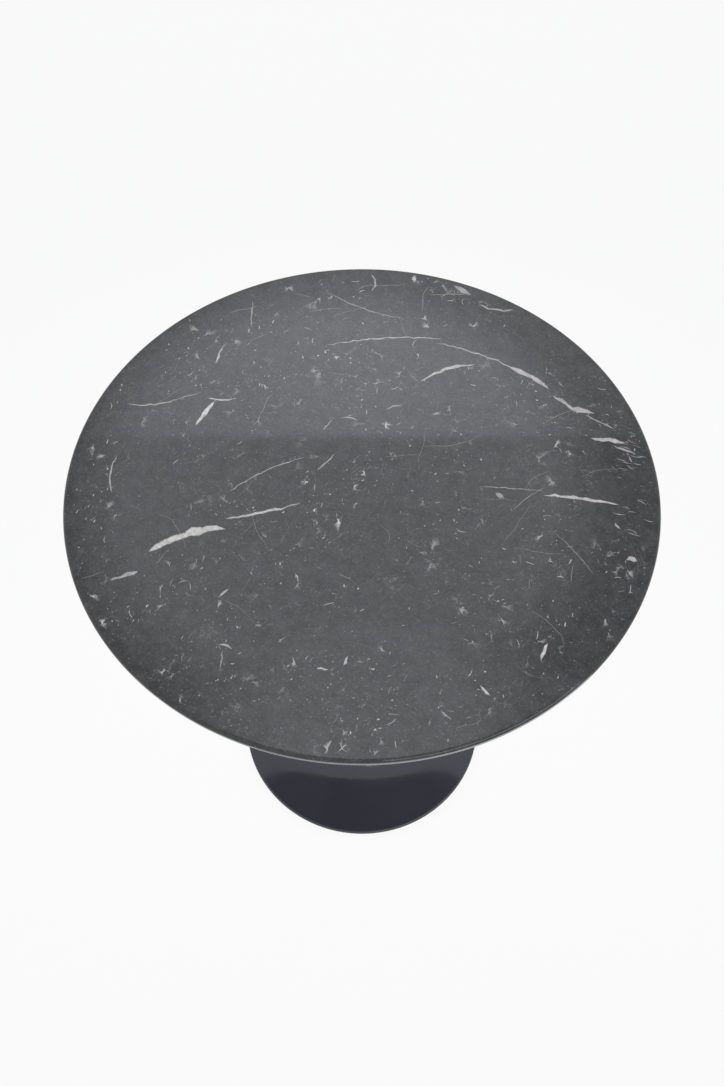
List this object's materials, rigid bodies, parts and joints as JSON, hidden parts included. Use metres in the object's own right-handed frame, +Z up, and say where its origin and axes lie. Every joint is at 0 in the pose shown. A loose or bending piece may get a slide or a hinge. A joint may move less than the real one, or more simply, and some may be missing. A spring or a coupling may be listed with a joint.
{
  "type": "round pedestal side table",
  "caption": "Low round side table: a polished black marble disc with a thin bevelled edge on a gloss black trumpet-shaped pedestal, standing on screw glides.",
  "frame": {"origin": "on the floor, under the centre of the table", "axes": "+Z is up, along the pedestal and tie rod; +X is to the right and +Y to the rear, and the glides lie on the diagonals between them"},
  "size_m": [0.508, 0.508, 0.52],
  "materials": {
    "marble": "polished black marble with white veins and fine pale flecks",
    "board": "fibreboard, painted matte black",
    "lacquer": "cast aluminium under gloss black lacquer",
    "steel": "zinc-plated steel",
    "brass": "turned brass",
    "gasket": "thin black rubber sheet",
    "ballast": "cast iron, painted black",
    "cap": "moulded black plastic",
    "glide_steel": "zinc-plated steel",
    "glide_plastic": "moulded black nylon"
  },
  "bodies": {
    "table": {"marble_top": "marble", "support_board": "board", "pedestal": "lacquer", "mounting_plate": "steel", "plate_screws": "steel", "rod_socket": "steel", "locating_pins": "steel", "tie_rod": "steel", "rod_washer": "steel", "spring_washer": "steel", "rod_nut": "steel", "threaded_inserts": "brass", "glide_inserts": "brass", "flange_gasket": "gasket", "ballast_weight": "ballast", "nut_cap": "cap"},
    "pad_rear_right": {"glide_pad_rear_right": "glide_plastic"},
    "stem_rear_right": {"glide_stem_rear_right": "glide_steel"},
    "pad_rear_left": {"glide_pad_rear_left": "glide_plastic"},
    "stem_rear_left": {"glide_stem_rear_left": "glide_steel"},
    "pad_front_left": {"glide_pad_front_left": "glide_plastic"},
    "stem_front_left": {"glide_stem_front_left": "glide_steel"},
    "pad_front_right": {"glide_pad_front_right": "glide_plastic"},
    "stem_front_right": {"glide_stem_front_right": "glide_steel"}
  },
  "joints": [
    {"name": "glide_rear_right_height", "type": "slide", "parent": "table", "child": "pad_rear_right", "axis": [0, 0, -1], "range_m": [0, 0.0035]},
    {"name": "glide_rear_right_turn", "type": "hinge", "parent": "pad_rear_right", "child": "stem_rear_right", "pos_m": [0.07354, 0.07354, 0.005], "axis": [0, 0, -1], "range_deg": [0, 1260.5]},
    {"name": "glide_rear_left_height", "type": "slide", "parent": "table", "child": "pad_rear_left", "axis": [0, 0, -1], "range_m": [0, 0.0035]},
    {"name": "glide_rear_left_turn", "type": "hinge", "parent": "pad_rear_left", "child": "stem_rear_left", "pos_m": [-0.07354, 0.07354, 0.005], "axis": [0, 0, -1], "range_deg": [0, 1260.5]},
    {"name": "glide_front_left_height", "type": "slide", "parent": "table", "child": "pad_front_left", "axis": [0, 0, -1], "range_m": [0, 0.0035]},
    {"name": "glide_front_left_turn", "type": "hinge", "parent": "pad_front_left", "child": "stem_front_left", "pos_m": [-0.07354, -0.07354, 0.005], "axis": [0, 0, -1], "range_deg": [0, 1260.5]},
    {"name": "glide_front_right_height", "type": "slide", "parent": "table", "child": "pad_front_right", "axis": [0, 0, -1], "range_m": [0, 0.0035]},
    {"name": "glide_front_right_turn", "type": "hinge", "parent": "pad_front_right", "child": "stem_front_right", "pos_m": [0.07354, -0.07354, 0.005], "axis": [0, 0, -1], "range_deg": [0, 1260.5]}
  ],
  "couplings": [
    {"joint": "glide_rear_right_turn", "follows": "glide_rear_right_height", "rad_per_m": 6283.2},
    {"joint": "glide_rear_left_turn", "follows": "glide_rear_left_height", "rad_per_m": 6283.2},
    {"joint": "glide_front_left_turn", "follows": "glide_front_left_height", "rad_per_m": 6283.2},
    {"joint": "glide_front_right_turn", "follows": "glide_front_right_height", "rad_per_m": 6283.2}
  ]
}
